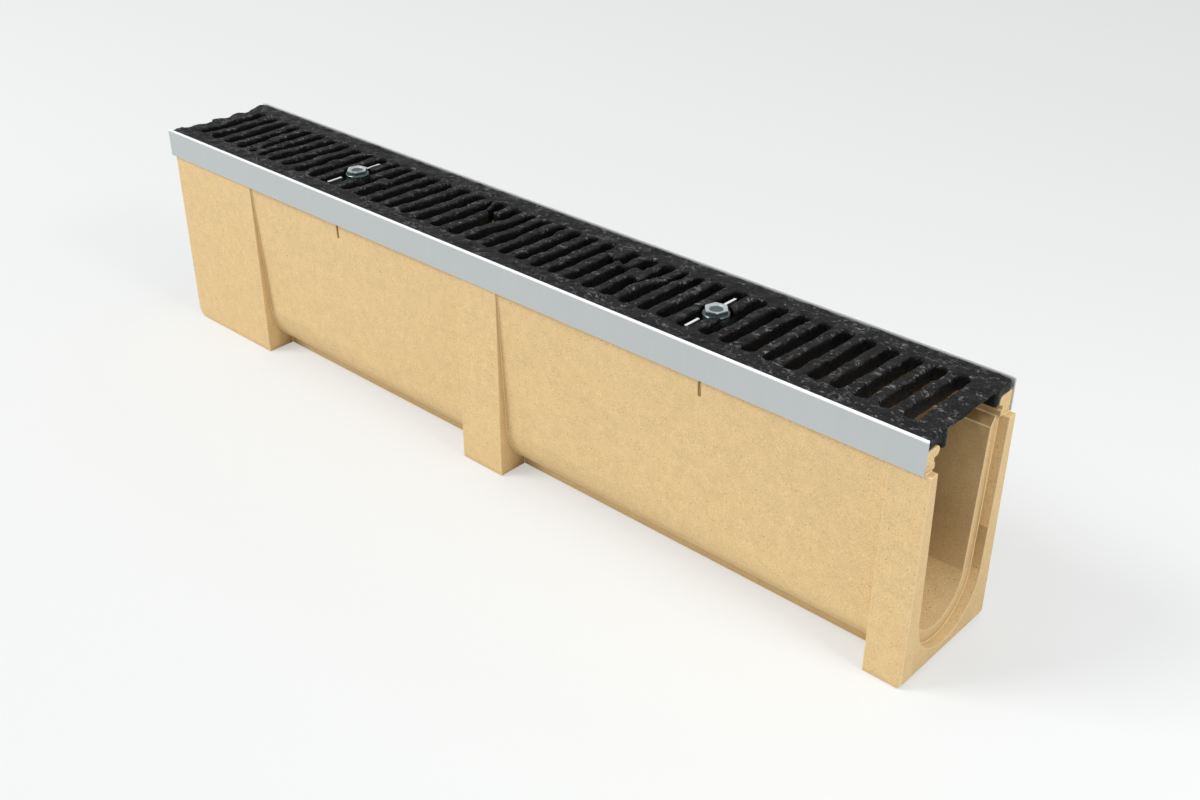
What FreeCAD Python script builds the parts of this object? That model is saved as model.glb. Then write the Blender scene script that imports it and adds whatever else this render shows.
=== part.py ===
import FreeCAD, Part
import Sketcher
import math
import os

# Line drain, one metre long: a moulded polymer-concrete channel, two galvanised edge
# rails and a bolted cast-iron grating.  Millimetres.  The origin is at the bottom
# centre, +X runs along the channel to its socket end, +Y across it and +Z up.

Vector = FreeCAD.Vector
doc = FreeCAD.newDocument("channel_drain")

# ---------------------------------------------------------------- sizes

SIZES = [
    ("channel_length", 1000, "moulded channel without its spigot"),
    ("foot_half_width", 66, "rib at the floor"),
    ("shoulder_half_width", 64.5, "rib under the rail, and the upper wall's outer face"),
    ("shoulder_height", 205.5, "top of the ribs, bottom of the rails"),
    ("upper_wall_height", 19.5, "rim that the grating lies on, above the shoulder"),
    ("bore_radius", 36.5, "round bottom of the waterway"),
    ("bore_centre_height", 60, "centre of the waterway's round bottom"),
    ("bore_top_half", 43.5, "waterway under its ledge"),
    ("ledge_drop", 8.5, "ledge in the waterway, below the shoulder"),
    ("upper_half_inside", 50, "inner face of the upper wall"),
    ("groove_depth", 2, "locking groove, into the upper wall"),
    ("groove_height", 5, "locking groove, below the bead"),
    ("bead_radius", 4.5, "half-round bead along the rim"),
    ("socket_depth", 9.5, "recess in the +X end"),
    ("socket_radius", 48.5, "round bottom of the socket"),
    ("socket_top_half", 54.5, "socket at the shoulder's height"),
    ("joint_clearance", 1, "between spigot and socket"),
    ("upper_setback", 6, "upper wall stops short of the +X end"),
    ("bay_inset", 2, "wall between the ribs, behind the ribs' face at the shoulder"),
    ("bay_radius", 56.5, "round lower turn of the wall between the ribs"),
    ("bay_centre_height", 54, "centre of that turn"),
    ("foot_pad_half", 33, "flat underside between the ribs"),
    ("left_rib_width", 143.5, "rib at the spigot end, along the channel"),
    ("middle_rib_left", 21.7, "middle rib, to the left of the channel's middle"),
    ("middle_rib_right", 34.2, "middle rib, to the right of the channel's middle"),
    ("right_rib_width", 37, "rib at the socket end, along the channel"),
    ("plain_end_radius", 12, "rounded floor edge of the spigot end"),
    ("socket_end_radius", 6, "rounded floor edge of the socket end"),
    ("left_slot_station", -206, "upright slot in the left bay's walls"),
    ("right_slot_station", 278, "upright slot in the right bay's walls"),
    ("upright_slot_width", 3.5, "those slots, along the channel"),
    ("upright_slot_height", 18.5, "from the rail down"),
    ("upright_slot_depth", 4, "into the wall"),
    ("rail_thickness", 2, "edge rail's sheet"),
    ("rail_overhang", 5, "rail past the channel's end at the spigot"),
    ("rail_shortfall", 0.4, "rail shorter than the channel, a gap between rails"),
    ("rail_rise", 0.5, "rail above the walking surface"),
    ("rail_edge_radius", 1.6, "rolled outer top edge"),
    ("claw_length", 24, "cast-in claws, along the rail"),
    ("claw_depth", 8, "claw, into the upper wall"),
    ("claw_drop", 7, "claw's underside, below the rim"),
    ("claw_count", 5, "claws on one rail"),
    ("claw_margin", 100, "first claw's centre from the channel's end"),
    ("grating_overhang", 3.5, "grating past the channel's end at the spigot"),
    ("grating_end_gap", 0.5, "grating short of the upper wall's end at the socket"),
    ("grating_side_gap", 1.5, "grating to the rail"),
    ("grating_thickness", 11, "walking surface above the rim"),
    ("bar_depth", 16, "bars and the skirt round the slots"),
    ("skirt_width", 12, "skirt beyond the first and the last slot"),
    ("slot_margin", 1.5, "slot's end to the skirt's outside"),
    ("plain_end_bar", 25.5, "end bar at the spigot"),
    ("lip_end_bar", 23.5, "end bar at the socket"),
    ("bar_width", 9.8, "straight bars"),
    ("slot_corner", 4, "corners of the slots, each of two flats"),
    ("grating_corner_radius", 3, "outer corners of the grating"),
    ("wave_inset", 7, "middle line of the wavy end edge, from the grating's end"),
    ("wave_height", 3, "wave, to each side of its middle line"),
    ("wave_first", -34, "first crest of the wave across the channel"),
    ("wave_pitch", 27, "crest to crest"),
    ("lip_thickness", 4, "thin lip at the socket end"),
    ("lug_depth", 17, "locating lugs, below the walking surface"),
    ("lug_thickness", 8.5, "lug across the channel"),
    ("bead_gap", 1, "lugs and skirt to the bead"),
    ("lug_width", 9.5, "lug, along the channel"),
    ("post_diameter", 9, "round post on each lug"),
    ("post_inset", 3, "post's axis from the grating's end"),
    ("bolt_end_distance", 255, "bolt axes, from the channel's two ends"),
    ("shank_diameter", 12, "M12 bolt"),
    ("bolt_end", 3.9, "bolt beyond its nut"),
    ("spanner_size", 18, "across the flats of head and nut"),
    ("head_height", 7.5, "bolt head"),
    ("head_bevel", 1.2, "bevel round the head's top"),
    ("head_dish_radius", 5.5, "dished mark in the head"),
    ("head_dish_depth", 1.6, "depth of that mark"),
    ("washer_diameter", 24, "washer"),
    ("washer_thickness", 2.5, "washer"),
    ("nut_height", 10, "nut"),
    ("hole_diameter", 13, "clearance hole in washer, boss and bridge"),
    ("boss_diameter", 31, "boss that the bolt clamps"),
    ("recess_depth", 9.4, "seat of the washer, below the walking surface"),
    ("boss_thickness", 8, "boss"),
    ("recess_diameter", 28.5, "round recess over the boss"),
    ("bridge_gap", 0.8, "locking bridge to the groove's bottom, each side"),
    ("bridge_thickness", 3, "locking bridge's plate"),
    ("bridge_before", 12, "plate, from the bolt to its -X edge"),
    ("bridge_after", 13, "plate, from the bolt to its +X edge"),
    ("tongue_offset", 7, "upright tongues, from the bolt to their -X face"),
    ("tongue_thickness", 2.5, "upright tongues"),
    ("tongue_gap", 1.5, "tongue to the boss"),
    ("tongue_margin", 8, "tongue's far end to the slot's end"),
    ("tongue_drop", 5, "upper edge of the tongues, below the walking surface"),
    ("pattern_length", 1000, "channel length that the bar stations are drawn for"),
    ("pattern_half", 43, "half slot length that the bar stations are drawn for"),
]

sheet = doc.addObject("Spreadsheet::Sheet", "Sizes")
for row, (alias, value, note) in enumerate(SIZES, start=1):
    sheet.set("A%d" % row, alias)
    sheet.set("B%d" % row, str(value))
    sheet.set("C%d" % row, note)
    sheet.setAlias("B%d" % row, alias)
doc.recompute()


def size(alias):
    """The value of one cell of the sheet."""
    return float(sheet.get(alias))


def value(expression):
    """The number that an expression over the cells gives."""
    return float(sheet.evalExpression(expression))


# Heights and stations that several sub-parts share.
CHANNEL_START = "(-Sizes.channel_length / 2)"
CHANNEL_END = "(Sizes.channel_length / 2)"
SEAT = "(Sizes.shoulder_height + Sizes.upper_wall_height)"
CEILING = "(" + SEAT + " - 2 * Sizes.bead_radius)"
CLAW_HEIGHT = "(" + SEAT + " - Sizes.claw_drop)"
GRATING_TOP = "(" + SEAT + " + Sizes.grating_thickness)"
RAIL_TOP = "(" + GRATING_TOP + " + Sizes.rail_rise)"
BAR_BOTTOM = "(" + GRATING_TOP + " - Sizes.bar_depth)"
LUG_BOTTOM = "(" + GRATING_TOP + " - Sizes.lug_depth)"
BOSS_TOP = "(" + GRATING_TOP + " - Sizes.recess_depth)"
HEAD_BOTTOM = "(" + BOSS_TOP + " + Sizes.washer_thickness)"
PLATE_BOTTOM = "(" + CEILING + " - Sizes.bridge_thickness)"
NUT_BOTTOM = "(" + PLATE_BOTTOM + " - Sizes.nut_height)"
BOLT_STATION = "(Sizes.channel_length / 2 - Sizes.bolt_end_distance)"


# ---------------------------------------------------------------- drawing helpers

def new_body(name):
    """A PartDesign body whose label is the sub-part's name."""
    body = doc.addObject("PartDesign::Body", name)
    body.Label = name
    return body


def new_sketch(body, name, role, height):
    """A sketch on an origin plane of the body, raised along the plane's normal."""
    sketch = body.newObject("Sketcher::SketchObject", name)
    planes = [item for item in body.Origin.OriginFeatures if item.Role == role]
    sketch.AttachmentSupport = [(planes[0], "")]
    sketch.MapMode = "FlatFace"
    sketch.setExpression("AttachmentOffset.Base.z", height)
    return sketch


def draw(sketch, start, steps, both_sides=False):
    """A chain of lines and arcs.  A step is (end,) for a line or (middle, end) for an arc.

    With both_sides the chain is drawn again, mirrored in the sketch's vertical axis.
    """
    signs = (1, -1) if both_sides else (1,)
    for sign in signs:
        here = Vector(sign * start[0], start[1], 0)
        for step in steps:
            points = [Vector(sign * point[0], point[1], 0) for point in step]
            if len(points) == 1:
                sketch.addGeometry(Part.LineSegment(here, points[0]))
            else:
                sketch.addGeometry(Part.Arc(here, points[0], points[1]))
            here = points[-1]


def rectangle(sketch, low, high):
    """An upright rectangle between two opposite corners."""
    corners = [((high[0], low[1]),), (high,), ((low[0], high[1]),), (low,)]
    draw(sketch, low, corners)


def circle(sketch, centre, alias):
    """A circle whose diameter is bound to one cell."""
    index = sketch.addGeometry(Part.Circle(Vector(centre[0], centre[1], 0), Vector(0, 0, 1), size(alias) / 2))
    number = sketch.addConstraint(Sketcher.Constraint("Diameter", index, size(alias)))
    sketch.addConstraint(Sketcher.Constraint("DistanceX", index, 3, centre[0]))
    sketch.addConstraint(Sketcher.Constraint("DistanceY", index, 3, centre[1]))
    sketch.setExpression("Constraints[%d]" % number, "Sizes." + alias)


def pad(body, sketch, length, reverse=False):
    """Add material along the sketch's normal, or against it."""
    feature = body.newObject("PartDesign::Pad", sketch.Name + "_pad")
    feature.Profile = sketch
    feature.setExpression("Length", length)
    feature.Reversed = reverse
    doc.recompute()
    return feature


def pocket(body, sketch, length):
    """Cut against the sketch's normal, and make sure that something was cut."""
    before = body.Shape.Volume
    feature = body.newObject("PartDesign::Pocket", sketch.Name + "_pocket")
    feature.Profile = sketch
    feature.setExpression("Length", length)
    doc.recompute()
    if body.Shape.Volume > before - 1:
        raise ValueError(sketch.Name + " cuts nothing")
    return feature


def trough(radius, centre_height, top_half, top_height):
    """Half of a U section: its lowest point, the arc's step, and the straight wall's step."""
    rise = top_height - centre_height
    distance = math.hypot(top_half, rise)
    turn = math.atan2(rise, top_half) - math.acos(radius / distance)
    half_way = (turn - math.pi / 2) / 2
    middle = (radius * math.cos(half_way), centre_height + radius * math.sin(half_way))
    tangent = (radius * math.cos(turn), centre_height + radius * math.sin(turn))
    return (0, centre_height - radius), [(middle, tangent), ((top_half, top_height),)]


# ---------------------------------------------------------------- channel body

length = size("channel_length")
shoulder = size("shoulder_height")
shoulder_half = size("shoulder_half_width")
seat = value(SEAT)
clear_top = value(RAIL_TOP)

body = new_body("channel_body")

# The blank has the ribs' section from end to end.
blank = new_sketch(body, "rib_section", "YZ_Plane", CHANNEL_START)
rib_side = [((size("foot_half_width"), 0),), ((shoulder_half, shoulder),)]
rib_side += [((shoulder_half, seat),), ((0, seat),)]
draw(blank, (0, 0), rib_side, both_sides=True)
pad(body, blank, "Sizes.channel_length")

for end, radius in ((-1, "plain_end_radius"), (1, "socket_end_radius")):
    base = body.Tip
    names = []
    for number, edge in enumerate(base.Shape.Edges, start=1):
        box = edge.BoundBox
        if box.ZMax < 0.1 and box.XLength < 0.1 and abs(box.XMin - end * length / 2) < 0.1:
            names.append("Edge%d" % number)
    rounding = body.newObject("PartDesign::Fillet", radius)
    rounding.Base = (base, names)
    rounding.setExpression("Radius", "Sizes." + radius)
    doc.recompute()

# The spigot enters the next channel's socket with a clearance all round.
spigot = new_sketch(body, "spigot_section", "YZ_Plane", CHANNEL_START)
gap = size("joint_clearance")
spigot_top = shoulder - gap
spigot_radius = size("socket_radius") - gap
spigot_half = size("socket_top_half") - gap
start, steps = trough(spigot_radius, size("bore_centre_height"), spigot_half, spigot_top)
draw(spigot, start, steps + [((0, spigot_top),)], both_sides=True)
pad(body, spigot, "Sizes.socket_depth - Sizes.joint_clearance", reverse=True)

# Between the ribs the wall steps in and turns under to a flat foot.
bay_radius = size("bay_radius")
bay_centre = size("bay_centre_height")
foot = size("foot_pad_half")
bay_top_half = shoulder_half - size("bay_inset")
start, steps = trough(bay_radius, bay_centre, bay_top_half, shoulder)
tangent = steps[0][1]
foot_angle = -math.acos(foot / bay_radius)
tangent_angle = math.atan2(tangent[1] - bay_centre, tangent[0])
half_way = (foot_angle + tangent_angle) / 2
middle = (bay_radius * math.cos(half_way), bay_centre + bay_radius * math.sin(half_way))
foot_top = (foot, bay_centre + bay_radius * math.sin(foot_angle))
outside = size("foot_half_width") + 5
bay_side = [(foot_top,), (middle, tangent), ((bay_top_half, shoulder),)]
bay_side += [((outside, shoulder),), ((outside, -5),), ((foot, -5),)]
BAYS = (
    ("left_bay", CHANNEL_START + " + Sizes.left_rib_width", "-Sizes.middle_rib_left"),
    ("right_bay", "Sizes.middle_rib_right", CHANNEL_END + " - Sizes.right_rib_width"),
)
for name, bay_start, bay_end in BAYS:
    bay = new_sketch(body, name, "YZ_Plane", bay_end)
    draw(bay, (foot, -5), bay_side, both_sides=True)
    pocket(body, bay, "%s - (%s)" % (bay_end, bay_start))

# A narrow upright slot with a round lower end is moulded in each bay's walls, under the rail.
slot_reach = size("upright_slot_width") / 2
slot_low = shoulder - size("upright_slot_height") + slot_reach
slot_floor = bay_top_half - size("upright_slot_depth")
for name, height in (("front_slots", outside), ("back_slots", -slot_floor)):
    slots = new_sketch(body, name, "XZ_Plane", str(height))
    for station in (size("left_slot_station"), size("right_slot_station")):
        left, right = station - slot_reach, station + slot_reach
        steps = [((left, slot_low),), ((station, slot_low - slot_reach), (right, slot_low))]
        draw(slots, (left, shoulder), steps + [((right, shoulder),), ((left, shoulder),)])
    pocket(body, slots, str(outside - slot_floor))

# Waterway, ledge, locking groove and bead are one section, cut from end to end.
upper = size("upper_half_inside")
ceiling = value(CEILING)
groove_floor = ceiling - size("groove_height")
groove = upper + size("groove_depth")
bead = size("bead_radius")
bore_top = shoulder - size("ledge_drop")
start, steps = trough(size("bore_radius"), size("bore_centre_height"), size("bore_top_half"), bore_top)
steps += [((upper, shoulder),), ((upper, groove_floor),), ((groove, groove_floor),)]
steps += [((groove, ceiling),), ((upper, ceiling),)]
steps += [((upper - bead, ceiling + bead), (upper, seat))]
steps += [((upper, clear_top),), ((0, clear_top),)]
waterway = new_sketch(body, "waterway_section", "YZ_Plane", CHANNEL_END)
draw(waterway, start, steps, both_sides=True)
pocket(body, waterway, "Sizes.channel_length + 2 * Sizes.socket_depth")

start, steps = trough(size("socket_radius"), size("bore_centre_height"), size("socket_top_half"), shoulder)
socket = new_sketch(body, "socket_section", "YZ_Plane", CHANNEL_END)
draw(socket, start, steps + [((0, shoulder),)], both_sides=True)
pocket(body, socket, "Sizes.socket_depth")

setback = new_sketch(body, "upper_setback_section", "YZ_Plane", CHANNEL_END)
rectangle(setback, (-outside, shoulder), (outside, clear_top))
pocket(body, setback, "Sizes.upper_setback")

# Seats of the rails' claws, equal to the claws because they are cast in.
claw_count = int(round(size("claw_count")))
claw_span = length - 2 * size("claw_margin")
claw_stations = [claw_span * (step / (claw_count - 1) - 0.5) for step in range(claw_count)]
claw_half = size("claw_length") / 2
claw_inside = shoulder_half - size("claw_depth")
seats = new_sketch(body, "claw_seats", "XY_Plane", CLAW_HEIGHT + " + Sizes.rail_thickness")
for station in claw_stations:
    rectangle(seats, (station - claw_half, claw_inside), (station + claw_half, outside))
    rectangle(seats, (station - claw_half, -outside), (station + claw_half, -claw_inside))
pocket(body, seats, "Sizes.rail_thickness")


# ---------------------------------------------------------------- edge rails

def build_rail(name, side):
    """An edge rail on one side of the rim (side +1 is +Y), with its row of claws."""
    rail = new_body(name)
    outer = shoulder_half + size("rail_thickness")
    top = value(RAIL_TOP)
    radius = size("rail_edge_radius")
    bend = radius * (1 - math.sqrt(0.5))
    section = new_sketch(rail, name + "_section", "YZ_Plane", CHANNEL_START + " - Sizes.rail_overhang")
    steps = [((side * outer, shoulder),), ((side * outer, top - radius),)]
    steps += [((side * (outer - bend), top - bend), (side * (outer - radius), top))]
    steps += [((side * shoulder_half, top),), ((side * shoulder_half, shoulder),)]
    draw(section, (side * shoulder_half, shoulder), steps)
    pad(rail, section, "Sizes.channel_length - Sizes.rail_shortfall")
    claws = new_sketch(rail, name + "_claws", "XY_Plane", CLAW_HEIGHT)
    for station in claw_stations:
        edges = sorted((side * claw_inside, side * (shoulder_half + 1)))
        rectangle(claws, (station - claw_half, edges[0]), (station + claw_half, edges[1]))
    pad(rail, claws, "Sizes.rail_thickness")


build_rail("rail_front", -1)
build_rail("rail_back", 1)


# ---------------------------------------------------------------- grating

# The stations of the bars are drawn for this channel length and half slot length.
DRAWN_LENGTH = size("pattern_length")
DRAWN_HALF = size("pattern_half")

# Straight bars come in evenly spaced runs: how many, then the centres of the first
# and the last one at the front margin, and the same at the back margin.
BAR_RUNS = [
    (3, -460.5, -412, -459, -413.5),
    (3, -389, -354, -395, -347),
    (4, -329.5, -261, -325, -260),
    (5, -179, -86.5, -174, -82.5),
    (5, 10.5, 95.5, 12, 96),
    (2, 205, 227.9, 206, 228.5),
    (10, 252.5, 451.5, 253.5, 454),
]

# The other bars bend, fork or end between the margins, three groups of them.  Each
# is its width and its centre line from front to back; a line that stops short of a
# margin has a round free end.
ODD_BARS = [
    (9.8, [(-227, -43), (-228, -14)]),
    (9.8, [(-238.5, 10), (-238, 43)]),
    (9.0, [(-218.5, -3), (-217.5, 43)]),
    (9.8, [(-204.5, -43), (-203, 7)]),
    (9.0, [(-195.5, -3), (-196.5, 43)]),
    (9.8, [(-62.6, -43), (-60.5, 17)]),
    (4.0, [(-60.5, 7), (-64, 20), (-72, 43)]),
    (9.0, [(-49.5, 16.5), (-50.7, 43)]),
    (9.8, [(-36.5, -43), (-34.5, -5), (-29, 10), (-28, 43)]),
    (9.8, [(-12, -43), (-11.5, -12), (-8, 4), (-10, 43)]),
    (8.0, [(108, 20), (107.5, 43)]),
    (9.4, [(117.6, -43), (117.6, 17.5)]),
    (8.6, [(128, 13), (127, 43)]),
    (9.4, [(140, -43), (140, 18)]),
    (8.6, [(151, 1), (149.3, 43)]),
    (9.0, [(162.4, -43), (162, -8), (165.5, 6), (170, 17), (170.4, 43)]),
    (8.6, [(184.3, -43), (184.3, 19), (186.5, 25), (186.5, 43)]),
]

# The slanting web that closes off one short slot.
SLANTING_WEB = [(-389, -28), (-373, -36), (-373, -30.5), (-389, -23)]

skirt_half = size("upper_half_inside") - size("bead_radius") - size("bead_gap")
slot_half = skirt_half - size("slot_margin")
corner = size("slot_corner")
bend = corner * (1 - math.sqrt(0.5))


def placed(x, y):
    """A drawn station, stretched to this channel's length and slot length."""
    return (x * length / DRAWN_LENGTH, y * slot_half / DRAWN_HALF)


def bar_end(centre, half, side):
    """Steps across a bar's end, coming from its side'th flank (side +1 is the back end)."""
    x, y = centre
    if abs(y) < slot_half - 0.01:
        return [((x + side * half, y - side * half),), ((x, y), (x - side * half, y - side * half))]
    wide = half + corner
    into = y + side * 1.2
    steps = [((x + side * half, y - side * corner),)]
    steps += [((x + side * (half + bend), y - side * bend),), ((x + side * wide, y),)]
    steps += [((x + side * wide, into),), ((x - side * wide, into),), ((x - side * wide, y),)]
    steps += [((x - side * (half + bend), y - side * bend),), ((x - side * half, y - side * corner),)]
    return steps


def bar_outline(sketch, width, line):
    """One bar's outline: up its right flank, across, down its left flank and across."""
    half = width / 2
    steps = [((x + half, y),) for x, y in line[1:-1]]
    steps += bar_end(line[-1], half, 1)
    steps += [((x - half, y),) for x, y in reversed(line[1:-1])]
    steps += bar_end(line[0], half, -1)
    draw(sketch, steps[-1][-1], steps)


bars = []
for count, front_first, front_last, back_first, back_last in BAR_RUNS:
    for step in range(int(round(count))):
        share = step / (count - 1)
        front_x = front_first + share * (front_last - front_first)
        back_x = back_first + share * (back_last - back_first)
        ends = [(front_x, -DRAWN_HALF), (back_x, DRAWN_HALF)]
        bars.append((size("bar_width"), [placed(x, y) for x, y in ends]))
for width, line in ODD_BARS:
    bars.append((width, [placed(x, y) for x, y in line]))
bars.sort(key=lambda bar: bar[1][0][0] + bar[1][-1][0])

body = new_body("grating")
start_x = -length / 2 - size("grating_overhang")
end_x = length / 2 - size("upper_setback") - size("grating_end_gap")
half = shoulder_half - size("grating_side_gap")
round_off = size("grating_corner_radius")
cut = round_off * (1 - math.sqrt(0.5))

# Frame: the margins and end bars around one window.  The end edge at the spigot is
# wavy between the margins.
frame = new_sketch(body, "frame_outline", "XY_Plane", SEAT)
steps = [((end_x - round_off, -half),), ((end_x - cut, -half + cut), (end_x, -half + round_off))]
steps += [((end_x, half - round_off),), ((end_x - cut, half - cut), (end_x - round_off, half))]
steps += [((start_x + round_off, half),), ((start_x, half - round_off),)]
wave = start_x + size("wave_inset")
height = size("wave_height")
quarter = size("wave_pitch") / 4
crests = [size("wave_first") + number * size("wave_pitch") for number in (2, 1, 0)]
steps += [((wave - height, crests[0] + 4.5 * quarter),), ((wave, crests[0] + 3 * quarter),)]
for crest in crests:
    steps += [((wave + height, crest + 2 * quarter), (wave, crest + quarter))]
    steps += [((wave - height, crest), (wave, crest - quarter))]
steps += [((wave - height / 2, crests[-1] - 2 * quarter),), ((start_x, crests[-1] - 2.4 * quarter),)]
steps += [((start_x, -half),)]
draw(frame, (start_x, -half), steps)
low_x = start_x + size("plain_end_bar")
high_x = end_x - size("lip_end_bar")
window = [((high_x - corner, -slot_half),), ((high_x - bend, -slot_half + bend),), ((high_x, -slot_half + corner),)]
window += [((high_x, slot_half - corner),), ((high_x - bend, slot_half - bend),), ((high_x - corner, slot_half),)]
window += [((low_x + corner, slot_half),), ((low_x + bend, slot_half - bend),), ((low_x, slot_half - corner),)]
window += [((low_x, -slot_half + corner),), ((low_x + bend, -slot_half + bend),), ((low_x + corner, -slot_half),)]
draw(frame, (low_x + corner, -slot_half), window)
pad(body, frame, "Sizes.grating_thickness")

# A skirt round the window hangs between the beads, as deep as the bars.
skirt = new_sketch(body, "skirt_outline", "XY_Plane", BAR_BOTTOM)
lip_start = high_x + size("skirt_width")
rectangle(skirt, (low_x - size("skirt_width"), -skirt_half), (lip_start, skirt_half))
draw(skirt, (low_x + corner, -slot_half), window)
pad(body, skirt, "Sizes.bar_depth - Sizes.grating_thickness")

# Neighbouring bars go in two sketches, because their flared ends may run together.
for number in (0, 1):
    field = new_sketch(body, "bar_field_%d" % (number + 1), "XY_Plane", BAR_BOTTOM)
    for width, line in bars[number::2]:
        bar_outline(field, width, line)
    pad(body, field, "Sizes.bar_depth")

web = new_sketch(body, "slanting_web", "XY_Plane", BAR_BOTTOM)
corners = [placed(x, y) for x, y in SLANTING_WEB]
draw(web, corners[-1], [(point,) for point in corners])
pad(body, web, "Sizes.bar_depth")

# Recess, boss and hole for each bolt.
bolt_x = value(BOLT_STATION)
recess = new_sketch(body, "bolt_recesses", "XY_Plane", GRATING_TOP)
for sign in (-1, 1):
    circle(recess, (sign * bolt_x, 0), "recess_diameter")
pocket(body, recess, "Sizes.recess_depth")
boss = new_sketch(body, "bolt_bosses", "XY_Plane", BOSS_TOP)
for sign in (-1, 1):
    circle(boss, (sign * bolt_x, 0), "boss_diameter")
pad(body, boss, "Sizes.boss_thickness", reverse=True)
holes = new_sketch(body, "bolt_holes", "XY_Plane", BOSS_TOP)
for sign in (-1, 1):
    circle(holes, (sign * bolt_x, 0), "hole_diameter")
pocket(body, holes, "Sizes.boss_thickness + Sizes.boss_thickness")

# Lugs at both ends drop between the beads; round posts stand on the socket end's pair.
lug_width = size("lug_width")
lug_inside = skirt_half - size("lug_thickness")
lugs = new_sketch(body, "locating_lugs", "XY_Plane", LUG_BOTTOM)
for low in (end_x - lug_width, wave + height):
    rectangle(lugs, (low, lug_inside), (low + lug_width, skirt_half))
    rectangle(lugs, (low, -skirt_half), (low + lug_width, -lug_inside))
pad(body, lugs, "Sizes.lug_depth - Sizes.grating_thickness + 1")
posts = new_sketch(body, "locating_posts", "XY_Plane", LUG_BOTTOM)
for sign in (-1, 1):
    centre_y = sign * (skirt_half - size("post_diameter") / 2)
    circle(posts, (end_x - size("post_inset"), centre_y), "post_diameter")
pad(body, posts, "Sizes.lug_depth - 1")

# Between the lugs the socket end thins to a lip.
lip = new_sketch(body, "lip_underside", "XY_Plane", GRATING_TOP + " - Sizes.lip_thickness")
rectangle(lip, (lip_start, -lug_inside), (end_x + 1, lug_inside))
pocket(body, lip, "Sizes.bar_depth")


# ---------------------------------------------------------------- bolts, washers, nuts

def cylinder(name, radius, height, place, bottom):
    """A Part cylinder standing on the height bottom; all four are expressions."""
    item = doc.addObject("Part::Cylinder", name)
    item.setExpression("Radius", radius)
    item.setExpression("Height", height)
    item.setExpression("Placement.Base.x", place)
    item.setExpression("Placement.Base.z", bottom)
    return item


def cone(name, low_radius, high_radius, height, place, bottom):
    """A Part cone standing on the height bottom."""
    item = doc.addObject("Part::Cone", name)
    item.setExpression("Radius1", low_radius)
    item.setExpression("Radius2", high_radius)
    item.setExpression("Height", height)
    item.setExpression("Placement.Base.x", place)
    item.setExpression("Placement.Base.z", bottom)
    return item


def hexagon(name, turn, height, place, bottom):
    """A hexagonal prism, a spanner size across, turned about its axis."""
    item = doc.addObject("Part::Prism", name)
    item.Polygon = 6
    item.Placement.Rotation = FreeCAD.Rotation(Vector(0, 0, 1), turn)
    item.setExpression("Circumradius", "Sizes.spanner_size / sqrt(3)")
    item.setExpression("Height", height)
    item.setExpression("Placement.Base.x", place)
    item.setExpression("Placement.Base.z", bottom)
    return item


def boolean(kind, name, base, tool):
    """A Part::Cut or Part::Fuse of two objects."""
    item = doc.addObject("Part::" + kind, name)
    item.Base = base
    item.Tool = tool
    item.Label = name
    return item


fasteners = []


def build_fastening(side, sign):
    """Bolt, washer, nut and locking bridge at one bolt station."""
    place = sign + BOLT_STATION

    # The head's top edges are bevelled and its top is dished.
    blank = hexagon("head_blank_" + side, 42, "Sizes.head_height", place, HEAD_BOTTOM)
    doc.recompute()
    top = blank.Shape.BoundBox.ZMax - 0.1
    head = doc.addObject("Part::Chamfer", "head_" + side)
    head.Base = blank
    bevel = size("head_bevel")
    head.Edges = [(number, bevel, bevel) for number, edge in enumerate(blank.Shape.Edges, start=1)
                  if edge.BoundBox.ZMin > top]
    dish = cone("head_dish_" + side, "Sizes.head_dish_radius - Sizes.head_dish_depth", "Sizes.head_dish_radius",
                "Sizes.head_dish_depth", place, HEAD_BOTTOM + " + Sizes.head_height - Sizes.head_dish_depth")
    head = boolean("Cut", "dished_head_" + side, head, dish)
    shank_end = NUT_BOTTOM + " - Sizes.bolt_end"
    shank_length = "%s - (%s)" % (HEAD_BOTTOM, shank_end)
    shank = cylinder("shank_" + side, "Sizes.shank_diameter / 2", shank_length, place, shank_end)
    bolt = boolean("Fuse", "bolt_" + side, head, shank)

    disc = cylinder("washer_disc_" + side, "Sizes.washer_diameter / 2",
                    "Sizes.washer_thickness", place, BOSS_TOP)
    hole = cylinder("washer_hole_" + side, "Sizes.hole_diameter / 2",
                    "Sizes.washer_thickness", place, BOSS_TOP)
    washer = boolean("Cut", "washer_" + side, disc, hole)

    blank = hexagon("nut_blank_" + side, 0, "Sizes.nut_height", place, NUT_BOTTOM)
    thread = cylinder("nut_bore_" + side, "Sizes.shank_diameter / 2", "Sizes.nut_height", place, NUT_BOTTOM)
    nut = boolean("Cut", "nut_" + side, blank, thread)
    fasteners.extend([bolt, washer, nut])

    # The bridge is a plate with two upright tongues beside the bolt's boss.
    bridge = new_body("locking_bridge_" + side)
    station = value(place)
    reach = groove - size("bridge_gap")
    plate = new_sketch(bridge, "plate_" + side, "XY_Plane", PLATE_BOTTOM)
    rectangle(plate, (station - size("bridge_before"), -reach), (station + size("bridge_after"), reach))
    circle(plate, (station, 0), "hole_diameter")
    pad(bridge, plate, "Sizes.bridge_thickness")
    tongues = new_sketch(bridge, "tongues_" + side, "XY_Plane", PLATE_BOTTOM)
    low = station - size("tongue_offset")
    high = low + size("tongue_thickness")
    near = size("boss_diameter") / 2 + size("tongue_gap")
    far = slot_half - size("tongue_margin")
    rectangle(tongues, (low, near), (high, far))
    rectangle(tongues, (low, -far), (high, -near))
    pad(bridge, tongues, GRATING_TOP + " - Sizes.tongue_drop - " + PLATE_BOTTOM)


build_fastening("left", "-")
build_fastening("right", "+")

# ---------------------------------------------------------------- check and export

doc.recompute()
for item in doc.Objects:
    if "Invalid" in item.State or "Error" in item.State:
        raise ValueError(item.Name + " has a fault")

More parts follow.
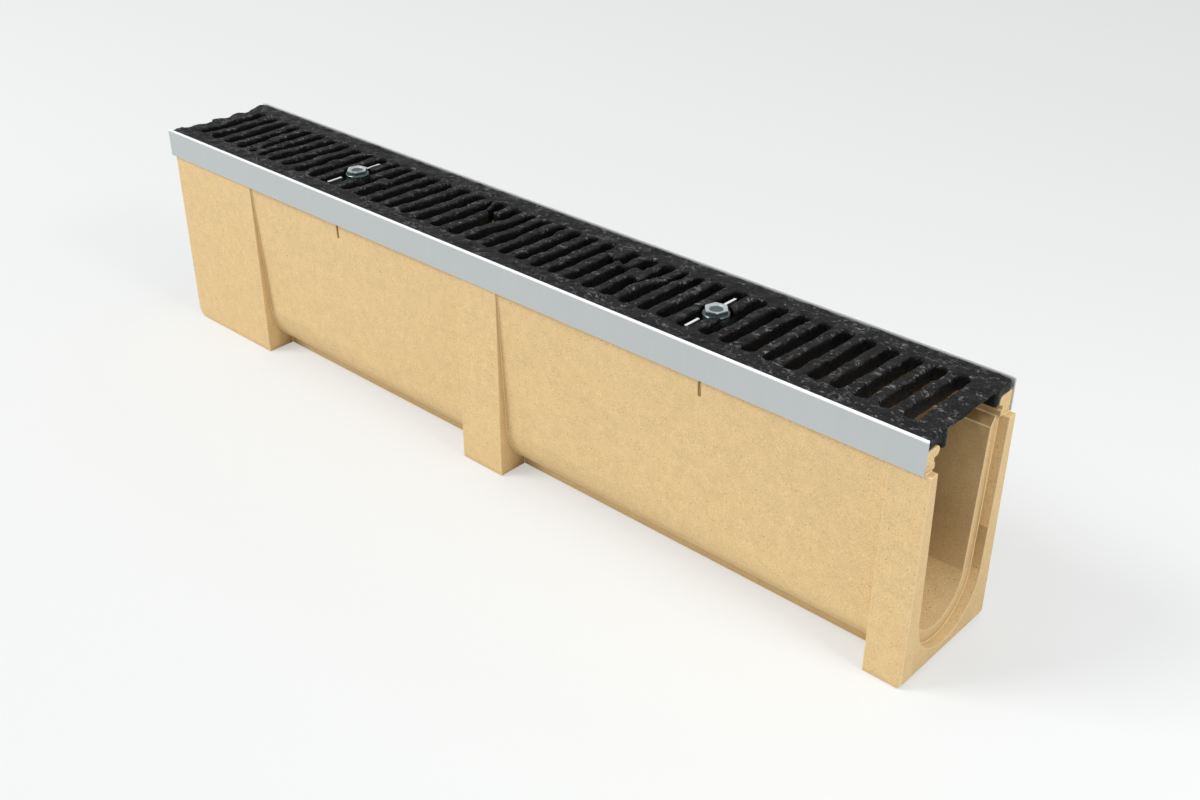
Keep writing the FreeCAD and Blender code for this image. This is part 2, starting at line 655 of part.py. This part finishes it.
os.makedirs("parts", exist_ok=True)
bodies = [item for item in doc.Objects if item.TypeId == "PartDesign::Body"]
for item in bodies + fasteners:
    shape = item.Shape
    if shape.isNull() or not shape.isValid() or len(shape.Solids) != 1:
        raise ValueError(item.Label + " is not one valid solid")
    shape.exportStep(os.path.join("parts", item.Label + ".step"))
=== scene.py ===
import bmesh
import bpy
import math
import numpy as np
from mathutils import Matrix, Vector


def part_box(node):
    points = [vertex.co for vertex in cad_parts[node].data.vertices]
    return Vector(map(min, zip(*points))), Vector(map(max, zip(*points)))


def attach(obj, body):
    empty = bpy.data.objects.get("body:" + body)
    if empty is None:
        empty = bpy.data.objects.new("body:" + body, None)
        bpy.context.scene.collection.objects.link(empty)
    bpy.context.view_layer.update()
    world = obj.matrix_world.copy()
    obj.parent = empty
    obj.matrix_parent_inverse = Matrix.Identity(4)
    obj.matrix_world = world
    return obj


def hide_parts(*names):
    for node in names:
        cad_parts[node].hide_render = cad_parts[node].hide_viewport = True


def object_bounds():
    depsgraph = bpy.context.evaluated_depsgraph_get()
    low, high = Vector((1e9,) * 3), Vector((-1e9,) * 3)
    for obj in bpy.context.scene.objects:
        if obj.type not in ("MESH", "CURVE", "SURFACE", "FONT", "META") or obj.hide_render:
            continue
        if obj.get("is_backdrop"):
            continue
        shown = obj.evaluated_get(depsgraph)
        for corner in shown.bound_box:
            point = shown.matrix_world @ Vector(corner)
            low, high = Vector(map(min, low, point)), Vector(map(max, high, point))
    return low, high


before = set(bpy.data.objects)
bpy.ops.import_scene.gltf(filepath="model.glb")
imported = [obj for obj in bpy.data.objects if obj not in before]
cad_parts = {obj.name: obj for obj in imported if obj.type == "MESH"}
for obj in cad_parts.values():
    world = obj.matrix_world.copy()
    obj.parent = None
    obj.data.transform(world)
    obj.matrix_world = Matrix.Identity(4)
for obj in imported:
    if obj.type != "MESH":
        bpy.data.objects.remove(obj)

cad_low, cad_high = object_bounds()


# ---- Camera -------------------------------------------------------------------
# Looks down along the drain from beyond its socket end, at the front side.
lens = bpy.data.cameras.new("camera")
lens.sensor_width = 36.0
lens.lens = 41.5
lens.clip_start = 0.05
lens.clip_end = 60.0
camera = bpy.data.objects.new("camera", lens)
bpy.context.scene.collection.objects.link(camera)
camera.location = (0.8957, -0.8574, 0.7730)
target = Vector((0.1199, -0.0126, 0.1000))
camera.rotation_euler = (target - camera.location).to_track_quat("-Z", "Y").to_euler()
bpy.context.scene.camera = camera


# ---- Channel -------------------------------------------------------------------
# One moulding of polymer concrete: quartz sand and fine gravel in resin.  Its moulded
# edges are slightly rounded, and brown and pale grains and a few open pores show on it.
EDGE_RADIUS = 0.0007
EDGE_SEGMENTS = 2
WATERWAY_HALF_WIDTH = 0.0502
# Heights over which the painted shade on the waterway's walls grows to full.
SHADE_START = 0.050
SHADE_FULL = 0.110
SAND = (0.745, 0.530, 0.262, 1)
PALE_SAND = (0.790, 0.575, 0.300, 1)
# The rounded edges' colours: wear together with a painted highlight.
WORN_HIGHLIT_SAND = (0.70, 0.49, 0.24, 1)
WORN_HIGHLIT_PALE_SAND = (0.88, 0.70, 0.42, 1)

# Each kind of grain: its colour, its cells per metre, its radius as a part of a cell, the
# share of cells that hold one, where that share starts, and how far it covers the sand.
GRAINS = {
    "pale": ((0.90, 0.76, 0.52, 1), 620.0, 0.33, 0.14, 0.7, 0.55),
    "fine_brown": ((0.34, 0.20, 0.085, 1), 700.0, 0.34, 0.06, 0.0, 0.55),
    "brown": ((0.26, 0.145, 0.055, 1), 430.0, 0.26, 0.06, 0.3, 0.70),
    "coarse_brown": ((0.20, 0.11, 0.045, 1), 230.0, 0.15, 0.10, 0.5, 0.72),
    "pore": ((0.13, 0.07, 0.03, 1), 120.0, 0.07, 0.12, 0.2, 0.80),
}


class Finish:
    """A new material with its shader, and the nodes that its colours and reliefs need."""

    def __init__(self, name):
        self.material = bpy.data.materials.new(name)
        self.material.use_nodes = True
        self.tree = self.material.node_tree
        self.shader = self.tree.nodes["Principled BSDF"]

    def add(self, kind, *inputs, **settings):
        """A node of a kind, with a link or a value for each named input."""
        node = self.tree.nodes.new(kind)
        for key, value in settings.items():
            setattr(node, key, value)
        for socket, source in inputs:
            if isinstance(source, bpy.types.NodeSocket):
                self.tree.links.new(source, node.inputs[socket])
            else:
                node.inputs[socket].default_value = source
        return node

    def place(self):
        """A point's place on the piece."""
        return self.add("ShaderNodeTexCoord").outputs["Object"]

    def noise(self, where, scale, detail, roughness=0.5, distortion=0.0):
        """A cloudy pattern from 0 to 1, with a number of clouds per metre."""
        return self.add("ShaderNodeTexNoise", ("Vector", where), ("Scale", scale),
                        ("Detail", detail), ("Roughness", roughness),
                        ("Distortion", distortion)).outputs["Fac"]

    def ramp(self, value, start, end, first=0.0, last=1.0):
        """A straight change from the first to the last as the value goes from start to end."""
        return self.add("ShaderNodeMapRange", ("Value", value), ("From Min", start),
                        ("From Max", end), ("To Min", first), ("To Max", last)).outputs["Result"]

    def maths(self, operation, *values):
        """The result of one operation on two or three values."""
        return self.add("ShaderNodeMath", *enumerate(values), operation=operation).outputs[0]

    def blend(self, share, under, over, kind="MIX"):
        """The over colour laid on the under colour by a share from 0 to 1."""
        return self.add("ShaderNodeMix", ("Factor", share), ("A", under), ("B", over),
                        data_type="RGBA", blend_type=kind).outputs["Result"]

    def shelter(self, reach):
        """How open a place is, from 0 in a deep corner to 1, as felt within a reach."""
        return self.add("ShaderNodeAmbientOcclusion", ("Distance", reach), samples=8).outputs["AO"]

    def relief(self, height, depth, strength):
        """Tilts the surface as if it rose and fell with a height."""
        bump = self.add("ShaderNodeBump", ("Strength", strength), ("Distance", depth),
                        ("Height", height))
        self.link(bump.outputs["Normal"], "Normal")

    def link(self, source, socket):
        """Joins a pattern to an input of the shader."""
        self.tree.links.new(source, self.shader.inputs[socket])


def round_edges(node, radius, segments):
    """Joins a node's loose triangles, clears its flat faces and rounds its sharp edges."""
    node.modifiers.new("join", "WELD").merge_threshold = 1e-6
    flatten = node.modifiers.new("flatten", "DECIMATE")
    flatten.decimate_type = "DISSOLVE"
    flatten.angle_limit = math.radians(0.5)
    bevel = node.modifiers.new("rounding", "BEVEL")
    bevel.width = radius
    bevel.segments = segments
    bevel.limit_method = "ANGLE"
    bevel.angle_limit = math.radians(32)
    bevel.use_clamp_overlap = False


def grains(finish, place, cells_per_metre, radius, share, low):
    """A mask of round grains in a scatter of cells.

    A cell holds a grain when its random value lies between low and low plus the share.
    The grain is full inside six tenths of its radius and fades out at its radius.
    """
    cells = finish.add("ShaderNodeTexVoronoi", ("Vector", place), ("Scale", cells_per_metre),
                       ("Randomness", 1.0))
    disc = finish.ramp(cells.outputs["Distance"], radius * 0.6, radius, 1.0, 0.0)
    drawn = finish.add("ShaderNodeSeparateColor", ("Color", cells.outputs["Color"])).outputs["Red"]
    above = finish.maths("GREATER_THAN", drawn, low)
    below = finish.maths("LESS_THAN", drawn, low + share)
    return finish.maths("MULTIPLY", finish.maths("MULTIPLY", above, below), disc)


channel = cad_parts["channel_body"]
round_edges(channel, EDGE_RADIUS, EDGE_SEGMENTS)

finish = Finish("polymer_concrete")
place = finish.place()
cloud = finish.noise(place, 9.0, 4.0, 0.6)
blotch = finish.noise(place, 95.0, 5.0, 0.7)
sand = finish.noise(place, 760.0, 3.0, 0.8)
tone = finish.maths("MULTIPLY", finish.ramp(sand, 0.25, 0.75, 0.80, 1.17),
                    finish.ramp(blotch, 0.3, 0.7, 0.93, 1.06))
colour = finish.blend(1.0, finish.blend(cloud, SAND, PALE_SAND), tone, "MULTIPLY")
for name, (grain_colour, cells_per_metre, radius, share, low, cover) in GRAINS.items():
    mask = grains(finish, place, cells_per_metre, radius, share, low)
    colour = finish.blend(finish.maths("MULTIPLY", mask, cover), colour, grain_colour)
    if name == "pore":
        pores = mask

# Painted shade: sheltered corners are darkened, and the waterway's walls, higher up the most,
# are darkened to a deeper brown than the outside.
parts = finish.add("ShaderNodeSeparateXYZ", ("Vector", place))
aside = finish.maths("ABSOLUTE", parts.outputs["Y"])
within = finish.maths("LESS_THAN", aside, WATERWAY_HALF_WIDTH)
shaded_walls = finish.maths("MULTIPLY", within,
                     finish.ramp(parts.outputs["Z"], SHADE_START, SHADE_FULL, 0.12))
# Each painted shade: its reach, how sheltered a place is where it is full and where it ends,
# its strength, the region it keeps to, and its colour.
for reach, full, none, strength, region, brown in (
        (0.014, 0.30, 0.72, 0.60, 1.0, (0.34, 0.195, 0.062, 1)),
        (0.110, 0.22, 0.88, 0.95, shaded_walls, (0.20, 0.105, 0.015, 1))):
    depth = finish.ramp(finish.shelter(reach), full, none, strength, 0.0)
    colour = finish.blend(finish.maths("MULTIPLY", depth, region), colour, brown)
finish.link(colour, "Base Color")
finish.shader.inputs["Roughness"].default_value = 0.74
finish.shader.inputs["Specular IOR Level"].default_value = 0.30
finish.relief(finish.maths("SUBTRACT", sand, pores), 0.0006, 0.45)
channel.material_slots[0].material = finish.material

# The rounded edges are paler than the faces, partly as wear and partly as a painted highlight.
finish = Finish("worn_highlit_edge")
sand = finish.noise(finish.place(), 420.0, 3.0, 0.7)
finish.link(finish.blend(sand, WORN_HIGHLIT_SAND, WORN_HIGHLIT_PALE_SAND), "Base Color")
finish.shader.inputs["Roughness"].default_value = 0.6
finish.relief(sand, 0.0005, 0.4)
channel.data.materials.append(finish.material)
channel.modifiers["rounding"].material = 1


# ---- Edge rails ----------------------------------------------------------------
# Two galvanised steel sections with their claws cast into the rim: even grey zinc with
# faint upright marks.  Their top edges carry a painted highlight, near white and less metallic.
ZINC_SHEET = (0.470, 0.502, 0.512, 1)
PALE_ZINC_SHEET = (0.520, 0.550, 0.558, 1)
CLOUDED_ZINC = (0.545, 0.570, 0.572, 1)
# A painted highlight along the rails' top edges.
LIP_HIGHLIGHT = (0.90, 0.905, 0.905, 1)
LIP_DEPTH = 0.0022
LIP_FADE = 0.0011

finish = Finish("galvanised_sheet")
place = finish.place()
upright = finish.add("ShaderNodeMapping", ("Vector", place), ("Scale", (130.0, 4.0, 5.0)))
streak = finish.noise(upright.outputs[0], 1.0, 5.0, 0.6)
cloud = finish.noise(place, 11.0, 3.0)
height = finish.add("ShaderNodeSeparateXYZ", ("Vector", place)).outputs["Z"]
rail_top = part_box("rail_front")[1][2]
# The top band of each rail is painted near white as a highlight, and made less metallic.
lip_highlight = finish.ramp(height, rail_top - LIP_DEPTH, rail_top - LIP_FADE)
colour = finish.blend(cloud, finish.blend(streak, ZINC_SHEET, PALE_ZINC_SHEET), CLOUDED_ZINC)
finish.link(finish.blend(lip_highlight, colour, LIP_HIGHLIGHT), "Base Color")
finish.link(finish.ramp(lip_highlight, 0.0, 1.0, 0.45, 0.05), "Metallic")
finish.link(finish.ramp(cloud, 0.0, 1.0, 0.34, 0.50), "Roughness")
finish.relief(streak, 0.0003, 0.05)
for name in ("rail_front", "rail_back"):
    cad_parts[name].material_slots[0].material = finish.material


# ---- Grating -------------------------------------------------------------------
# One iron casting from a sand mould under a thin black coat.  Its top is split like
# slate, and its bars have soft, slightly uneven edges.
CAST_STEP = 0.0019
CLEFT_DEPTH = 0.0028
CLEFT_STEPS = 5
RISER_START = 0.80
SPLIT_DEPTH = 0.004
EDGE_WANDER = 0.0007
COAT = (0.002, 0.002, 0.0022, 1)
WORN_COAT = (0.024, 0.024, 0.0245, 1)
# Painted light: shade at the feet of the steps, a highlight on the ledges, shade in the slots.
FOOT_SHADE = (0.002, 0.002, 0.002, 1)
LEDGE_HIGHLIGHT = (0.230, 0.230, 0.235, 1)
SLOT_SHADE = (0.0015, 0.0015, 0.0015, 1)


def even_casting(source, step):
    """A copy of a mesh, merged and cut afresh into even faces of about one step."""
    loose = bmesh.new()
    loose.from_mesh(source)
    bmesh.ops.remove_doubles(loose, verts=loose.verts, dist=1e-6)
    joined = bpy.data.meshes.new("joined_casting")
    loose.to_mesh(joined)
    loose.free()
    blank = bpy.data.objects.new("casting_blank", joined)
    bpy.context.scene.collection.objects.link(blank)
    even = blank.modifiers.new("even_mesh", "REMESH")
    even.mode = "VOXEL"
    even.voxel_size = step
    finished = blank.evaluated_get(bpy.context.evaluated_depsgraph_get())
    mesh = bpy.data.meshes.new_from_object(finished)
    bpy.data.objects.remove(blank)
    return mesh


def lattice_noise(across, along, seed):
    """Random heights from 0 to 1 on a unit lattice, blended between its corners.

    The blend along each direction is three times the square less twice the cube of the
    way across a cell, so that the surface has no creases.
    """
    heights = np.random.default_rng(seed).random((256, 256))
    column = np.floor(across).astype(int)
    row = np.floor(along).astype(int)
    u = across - column
    v = along - row
    u = u * u * (3 - 2 * u)
    v = v * v * (3 - 2 * v)
    left, right = column % 256, (column + 1) % 256
    near, far = row % 256, (row + 1) % 256
    low = heights[left, near] * (1 - u) + heights[right, near] * u
    high = heights[left, far] * (1 - u) + heights[right, far] * u
    return low * (1 - v) + high * v


def slate(x, y):
    """Depth of the split surface below its highest plane, from 0 to 1.

    Two octaves of noise, drawn out along a slanting grain, are cut into flat steps with
    short risers, and a little fine noise is added.
    """
    along = 0.86 * x + 0.5 * y
    across = 0.86 * y - 0.5 * x
    coarse = lattice_noise(along / 0.019, across / 0.011, 3)
    middle = lattice_noise(along / 0.008, across / 0.005, 4)
    steps = (0.65 * coarse + 0.35 * middle) * CLEFT_STEPS
    flat = np.floor(steps)
    riser = np.clip((steps - flat - RISER_START) / (1 - RISER_START), 0, 1)
    terraces = (flat + riser) / CLEFT_STEPS
    return np.clip(0.85 * terraces + 0.15 * lattice_noise(x / 0.0035, y / 0.0035, 5), 0, 1)


mesh = even_casting(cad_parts["grating"].data, CAST_STEP)
points = np.empty(len(mesh.vertices) * 3)
mesh.vertices.foreach_get("co", points)
points = points.reshape(-1, 3)
cast_low, cast_high = (np.array(corner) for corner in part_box("grating"))
x, y, z = points.T.copy()
# The split fades out down the sides; the wander is a noise from minus one to one.
split = np.clip(1 - (cast_high[2] - z) / SPLIT_DEPTH, 0, 1)
points[:, 0] = x + EDGE_WANDER * (2 * lattice_noise(x / 0.006 + 40, y / 0.005 + 7, 6) - 1)
points[:, 1] = y + EDGE_WANDER * (2 * lattice_noise(x / 0.005 + 11, y / 0.006 + 90, 7) - 1)
points[:, 2] = z - CLEFT_DEPTH * slate(x, y) * split
points = np.clip(points, cast_low, cast_high)
mesh.vertices.foreach_set("co", points.ravel())
mesh.update()
mesh.polygons.foreach_set("use_smooth", np.ones(len(mesh.polygons), dtype=bool))
grating = bpy.data.objects.new("grating_casting", mesh)
bpy.context.scene.collection.objects.link(grating)
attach(grating, "root")
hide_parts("grating")

# Painted light on the ledges of the split, which are the steps of a slanting noise: pale
# broken dashes along each step's upper edge are a painted highlight, and a dark line at its foot
# is painted shade.
finish = Finish("black_cast_iron")
place = finish.place()
slanting = finish.add("ShaderNodeMapping", ("Vector", place), ("Rotation", (0.0, 0.0, 0.5)),
                      ("Scale", (46.0, 82.0, 60.0)))
sheets = finish.noise(slanting.outputs[0], 1.0, 4.0, 0.55, 1.1)
steps = finish.maths("SNAP", sheets, 0.12)
above = finish.maths("SUBTRACT", sheets, steps)
lip = finish.ramp(above, 0.006, 0.036, 1.0, 0.0)
foot_shade = finish.ramp(above, 0.080, 0.115)
broken = finish.ramp(finish.noise(place, 160.0, 2.0), 0.49, 0.62)
height = finish.add("ShaderNodeSeparateXYZ", ("Vector", place)).outputs["Z"]
surface = finish.ramp(height, cast_high[2] - 0.0045, cast_high[2] - 0.0025)
highlight_dash = finish.maths("MULTIPLY", finish.maths("MULTIPLY", lip, broken), surface)
flake = finish.noise(place, 330.0, 5.0, 0.65, 0.8)
colour = finish.blend(flake, COAT, WORN_COAT)
colour = finish.blend(foot_shade, colour, FOOT_SHADE)
colour = finish.blend(highlight_dash, colour, LEDGE_HIGHLIGHT)
# Sheltered places in the slots are painted darker as shade.
open_to_light = finish.ramp(finish.shelter(0.022), 0.30, 0.80)
finish.link(finish.blend(open_to_light, SLOT_SHADE, colour), "Base Color")
finish.link(finish.ramp(flake, 0.3, 0.7, 0.24, 0.60), "Roughness")
finish.shader.inputs["Specular IOR Level"].default_value = 0.13
finish.relief(finish.maths("MULTIPLY_ADD", flake, 0.16, steps), 0.0100, 1.0)
mesh.materials.clear()
mesh.materials.append(finish.material)


# ---- Bolts, washers and nuts ------------------------------------------------------
# Two M12 flange bolts of bright zinc-plated steel hold the grating down.  Each head is a
# hexagon with a turned chamfer and a dished top, over a round sloping flange.
FLAT_RADIUS = 0.0097
CHAMFER_RADIUS = 0.0107
CHAMFER_DROP = 0.0007
SHANK_RADIUS = 0.0060
SHANK_CHAMFER = 0.0008
COLLAR_RADIUS = 0.0095
FLANGE_RADIUS = 0.0125
FLANGE_RISE = 0.0018
HEXAGON_RISE = 0.0018
HEAD_TURN = math.radians(42)
TURN_STEPS = 96
# The flange as radii and heights above its underside, and the dish as radii and depths.
FLANGE = ((FLANGE_RADIUS - 0.0003, 0.0), (FLANGE_RADIUS, 0.0004), (FLANGE_RADIUS, 0.0010),
          (FLANGE_RADIUS - 0.0004, 0.0014), (0.0117, 0.0017))
DISH = ((0.0080, 0.00002), (0.0070, 0.0006), (0.0060, 0.0013), (0.0050, 0.0019),
        (0.0030, 0.0021), (0.0, 0.0018))
ZINC = (0.62, 0.70, 0.69, 1)
PALE_ZINC = (0.74, 0.82, 0.81, 1)
# Painted shade for the bolts below their upper faces.
SHADED_ZINC = (0.13, 0.18, 0.18, 1)


def bolt_surface(axis_x, seat, top, end):
    """A bolt as rings of points, from the middle of its shank's end up to its head's middle.

    A ring is a circle for the shank, the collar, the flange and the dish.  For the hexagon
    its radius is the flat's distance over the cosine of the angle from the flat's middle,
    and the turned chamfer limits it to a circle that grows as the ring goes down.
    """
    turn = np.linspace(0, 2 * np.pi, TURN_STEPS, endpoint=False)
    from_flat = (turn - HEAD_TURN + np.pi / 6) % (np.pi / 3) - np.pi / 6
    hexagon = FLAT_RADIUS / np.cos(from_flat)
    under = seat + FLANGE_RISE
    rings = [(0.0, end), (SHANK_RADIUS - SHANK_CHAMFER, end), (SHANK_RADIUS, end + SHANK_CHAMFER),
             (SHANK_RADIUS, seat), (COLLAR_RADIUS, seat), (COLLAR_RADIUS, under)]
    rings += [(radius, under + rise) for radius, rise in FLANGE]
    rings = [(np.full(turn.shape, radius), height) for radius, height in rings]
    rings.append((hexagon, under + HEXAGON_RISE))
    for drop in np.linspace(CHAMFER_DROP, 0, 4):
        rings.append((np.minimum(hexagon, CHAMFER_RADIUS + 0.9 * drop), top - drop))
    rings += [(np.full(turn.shape, radius), top - depth) for radius, depth in DISH]
    return np.array([np.stack([axis_x + ring * np.cos(turn), ring * np.sin(turn),
                               np.full(turn.shape, height)], axis=1) for ring, height in rings])


def closed_rings(name, rows):
    """A mesh from rings of points; each ring joins the next, and its last point its first."""
    count, around = rows.shape[:2]
    index = np.arange(count * around).reshape(count, around)
    after = np.roll(index, -1, axis=1)
    faces = np.stack([index[:-1], after[:-1], after[1:], index[1:]], axis=-1).reshape(-1, 4)
    mesh = bpy.data.meshes.new(name)
    mesh.from_pydata(rows.reshape(-1, 3).tolist(), [], faces.tolist())
    cleaned = bmesh.new()
    cleaned.from_mesh(mesh)
    bmesh.ops.remove_doubles(cleaned, verts=cleaned.verts, dist=1e-6)
    bmesh.ops.recalc_face_normals(cleaned, faces=cleaned.faces)
    cleaned.to_mesh(mesh)
    cleaned.free()
    mesh.polygons.foreach_set("use_smooth", np.ones(len(mesh.polygons), dtype=bool))
    mesh.set_sharp_from_angle(angle=math.radians(28))
    return mesh


# Only the upper faces of the heads show the zinc's own bright colour; below them, and on the
# washers and nuts, the zinc is painted dark as the shade in the recess around each head.
finish = Finish("zinc_plate")
place = finish.place()
marks = finish.noise(place, 260.0, 3.0)
height = finish.add("ShaderNodeSeparateXYZ", ("Vector", place)).outputs["Z"]
head_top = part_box("bolt_left")[1][2]
lit_top = finish.ramp(height, head_top - 0.0014, head_top - 0.0008)
colour = finish.blend(marks, ZINC, PALE_ZINC)
finish.link(finish.blend(lit_top, SHADED_ZINC, colour), "Base Color")
finish.shader.inputs["Metallic"].default_value = 0.75
finish.link(finish.ramp(marks, 0.0, 1.0, 0.16, 0.40), "Roughness")
finish.relief(marks, 0.0001, 0.02)
for name in ("washer_left", "washer_right", "nut_left", "nut_right"):
    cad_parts[name].material_slots[0].material = finish.material
for side in ("left", "right"):
    low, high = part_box("bolt_" + side)
    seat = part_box("washer_" + side)[1][2]
    rows = bolt_surface((low[0] + high[0]) / 2, seat, high[2], low[2])
    mesh = closed_rings("flange_bolt_" + side, rows)
    mesh.materials.append(finish.material)
    bolt = bpy.data.objects.new("flange_bolt_" + side, mesh)
    bpy.context.scene.collection.objects.link(bolt)
    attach(bolt, "root")
    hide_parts("bolt_" + side)


# ---- Locking bridges ----------------------------------------------------------------
# Folded steel strips under the grating, painted near black as the shade under it.  A thin band
# along the cut upper edges of their upright tongues is a painted highlight and shows as bright
# lines in the slots beside the bolts.
CUT_EDGE = 0.0004
# A painted highlight for the tongues' top edges, and painted shade for the rest of the strips.
HIGHLIGHT_ZINC = (0.94, 0.95, 0.93, 1)
GREY_HIGHLIGHT_ZINC = (0.80, 0.82, 0.80, 1)
SHADED_STEEL = (0.055, 0.055, 0.052, 1)

finish = Finish("pale_galvanised")
place = finish.place()
spangle = finish.add("ShaderNodeTexVoronoi", ("Vector", place), ("Scale", 260.0))
height = finish.add("ShaderNodeSeparateXYZ", ("Vector", place)).outputs["Z"]
# The top band is painted bright as a highlight; below it the strip is painted shade.
lit_edge = finish.maths("GREATER_THAN", height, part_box("locking_bridge_left")[1][2] - CUT_EDGE)
colour = finish.blend(spangle.outputs["Distance"], HIGHLIGHT_ZINC, GREY_HIGHLIGHT_ZINC)
finish.link(finish.blend(lit_edge, SHADED_STEEL, colour), "Base Color")
finish.shader.inputs["Metallic"].default_value = 0.15
finish.link(finish.ramp(spangle.outputs["Distance"], 0.0, 1.0, 0.34, 0.55), "Roughness")
for name in ("locking_bridge_left", "locking_bridge_right"):
    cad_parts[name].material_slots[0].material = finish.material


# ---- Floor and light --------------------------------------------------------------
# A plain pale floor, a white dome, a large soft lamp up on the left of the front and a
# small one beyond the open end.
FLOOR_REACH = 12.0
FLOOR_GAP = 0.0002
FLOOR_PALE = (0.815, 0.832, 0.834, 1)
BACKGROUND = (0.925, 0.940, 0.933, 1)
BACKGROUND_SHARE = 0.45
DOME_STRENGTH = 0.55

mesh = bpy.data.meshes.new("floor")
corners = [(-1, -1), (1, -1), (1, 1), (-1, 1)]
mesh.from_pydata([(FLOOR_REACH * x, FLOOR_REACH * y, 0) for x, y in corners], [], [(0, 1, 2, 3)])
floor = bpy.data.objects.new("floor", mesh)
bpy.context.scene.collection.objects.link(floor)
floor.location.z = cad_low.z - FLOOR_GAP
finish = Finish("pale_floor")
finish.shader.inputs["Base Color"].default_value = FLOOR_PALE
finish.shader.inputs["Roughness"].default_value = 0.9
finish.shader.inputs["Specular IOR Level"].default_value = 0.1
# The camera, metal and glass see part of the background's own colour in the floor.
seen = finish.add("ShaderNodeLightPath").outputs
glow = finish.add("ShaderNodeEmission", ("Color", BACKGROUND), ("Strength", 1.0))
share = finish.maths("MAXIMUM", seen["Is Camera Ray"], seen["Is Glossy Ray"])
share = finish.maths("MAXIMUM", share, seen["Is Transmission Ray"])
share = finish.maths("MULTIPLY", share, BACKGROUND_SHARE)
both = finish.add("ShaderNodeMixShader", (0, share), (1, finish.shader.outputs[0]),
                  (2, glow.outputs[0]))
output = finish.tree.nodes["Material Output"]
finish.tree.links.new(both.outputs[0], output.inputs["Surface"])
mesh.materials.append(finish.material)
floor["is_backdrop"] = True

world = bpy.data.worlds.new("dome")
world.use_nodes = True
dome = world.node_tree.nodes["Background"]
dome.inputs["Color"].default_value = (1.0, 1.0, 1.0, 1)
dome.inputs["Strength"].default_value = DOME_STRENGTH
bpy.context.scene.world = world
bpy.context.scene.view_settings.view_transform = "Standard"


def lamp_at(name, energy, width, place, aim):
    """A round soft lamp at a place, turned towards its aim."""
    lamp = bpy.data.lights.new(name, "AREA")
    lamp.shape = "DISK"
    lamp.size = width
    lamp.energy = energy
    stand = bpy.data.objects.new(name, lamp)
    bpy.context.scene.collection.objects.link(stand)
    stand.location = place
    stand.rotation_euler = (Vector(aim) - stand.location).to_track_quat("-Z", "Y").to_euler()


lamp_at("key", 142.0, 2.4, (-2.4, -2.6, 3.6), (0.0, 0.0, 0.1))
lamp_at("end_lamp", 7.0, 0.4, (1.20, -0.05, 1.20), (0.45, 0.0, 0.06))

low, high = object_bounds()
